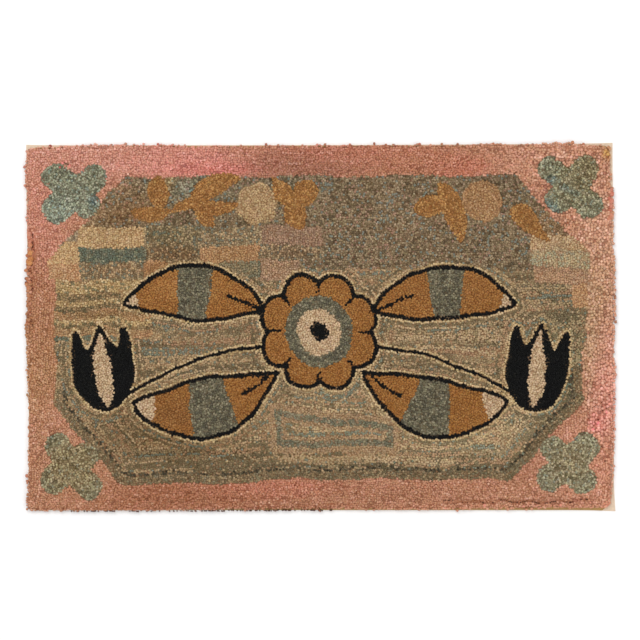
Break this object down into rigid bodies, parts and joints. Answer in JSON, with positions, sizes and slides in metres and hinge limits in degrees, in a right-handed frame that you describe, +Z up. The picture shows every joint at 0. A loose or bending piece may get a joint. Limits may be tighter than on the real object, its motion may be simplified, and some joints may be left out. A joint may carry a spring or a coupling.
{
  "type": "hooked rug",
  "caption": "Flat hooked rug: looped wool pile on a hessian foundation with a turned hem, backed by a cotton lining, lying pile up.",
  "frame": {"origin": "centre of the rug's bounding box on the floor, under the lining", "axes": "+X along the rug's width, to the right in the picture; +Y towards the picture's top; +Z up out of the pile"},
  "size_m": [1.0193, 0.6382, 0.0103],
  "materials": {
    "pile_wool": "hooked wool loops, matt, mottled pinks, greys and ochres",
    "hessian": "coarse plain weave, golden brown, matt",
    "lining_cotton": "plain-weave cotton, cream, matt"
  },
  "bodies": {
    "root": {"lining": "lining_cotton", "foundation": "hessian", "pile": "pile_wool"}
  },
  "joints": []
}
